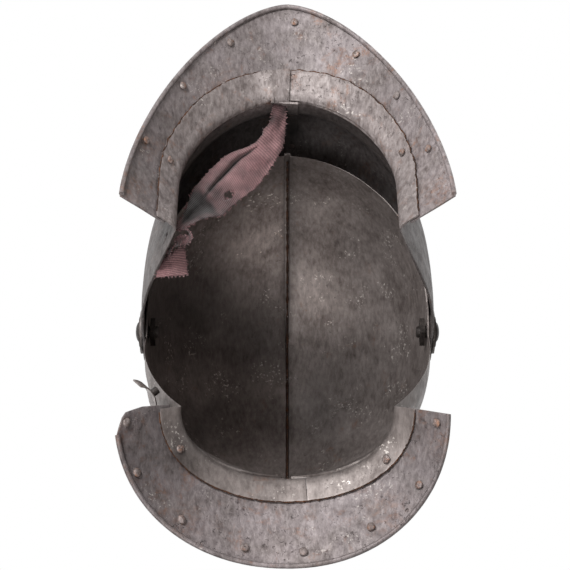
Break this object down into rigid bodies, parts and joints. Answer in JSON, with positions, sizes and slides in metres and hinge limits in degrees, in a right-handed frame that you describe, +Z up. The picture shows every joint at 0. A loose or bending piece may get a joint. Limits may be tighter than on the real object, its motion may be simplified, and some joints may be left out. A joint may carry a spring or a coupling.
{
  "type": "close helmet",
  "caption": "Close helmet with a low combed skull, a visor and a bevor on two side pivots, flared gorget plates front and rear and a spring catch, shown with the bevor swung up.",
  "frame": {"origin": "middle of the pivot axis, between the two side pivots", "axes": "+Z up through the crown, the wearer faces -Y, +X is the wearer's left and runs along the pivot axis"},
  "size_m": [0.209, 0.3664, 0.2971],
  "materials": {
    "skull_steel": "dark patinated iron",
    "bevor_steel": "dull pitted iron",
    "gorget_steel": "dull pitted iron",
    "pivot_iron": "dark iron",
    "rivet_iron": "rusted iron",
    "lining_cloth": "worn ribbed cloth"
  },
  "bodies": {
    "skull": {"skull_left": "skull_steel", "skull_right": "skull_steel", "rear_gorget_plate": "gorget_steel", "rear_gorget_rivets": "rivet_iron", "rear_flange_rivets": "rivet_iron", "pivot_left": "pivot_iron", "pivot_right": "pivot_iron", "pivot_washer_left": "pivot_iron", "pivot_washer_right": "pivot_iron", "pivot_nut_left": "pivot_iron", "pivot_nut_right": "pivot_iron", "catch_plate": "pivot_iron", "catch_rivets": "rivet_iron"},
    "bevor": {"bevor_left": "bevor_steel", "bevor_right": "bevor_steel", "chin_lap_rivets": "rivet_iron", "front_gorget_plate": "gorget_steel", "front_gorget_rivets": "rivet_iron", "front_flange_rivets": "rivet_iron", "lining_remnant": "lining_cloth", "lining_flap": "lining_cloth", "lining_rivet": "rivet_iron"},
    "visor": {"visor": "skull_steel", "visor_peg": "pivot_iron"},
    "catch": {"catch_spring": "pivot_iron", "catch_stud": "pivot_iron"}
  },
  "joints": [
    {"name": "bevor_swing", "type": "hinge", "parent": "skull", "child": "bevor", "pos_m": [0, 0, 0], "axis": [-1, 0, 0], "range_deg": [-50, 2]},
    {"name": "visor_lift", "type": "hinge", "parent": "bevor", "child": "visor", "pos_m": [0, 0, 0], "axis": [-1, 0, 0], "range_deg": [-8, 8]},
    {"name": "catch_flex", "type": "hinge", "parent": "skull", "child": "catch", "pos_m": [-0.06527, 0.07092, -0.08154], "axis": [-0.5789, -0.3708, 0.7263], "range_deg": [0, 6], "stiffness_Nm_per_rad": 0.4}
  ]
}
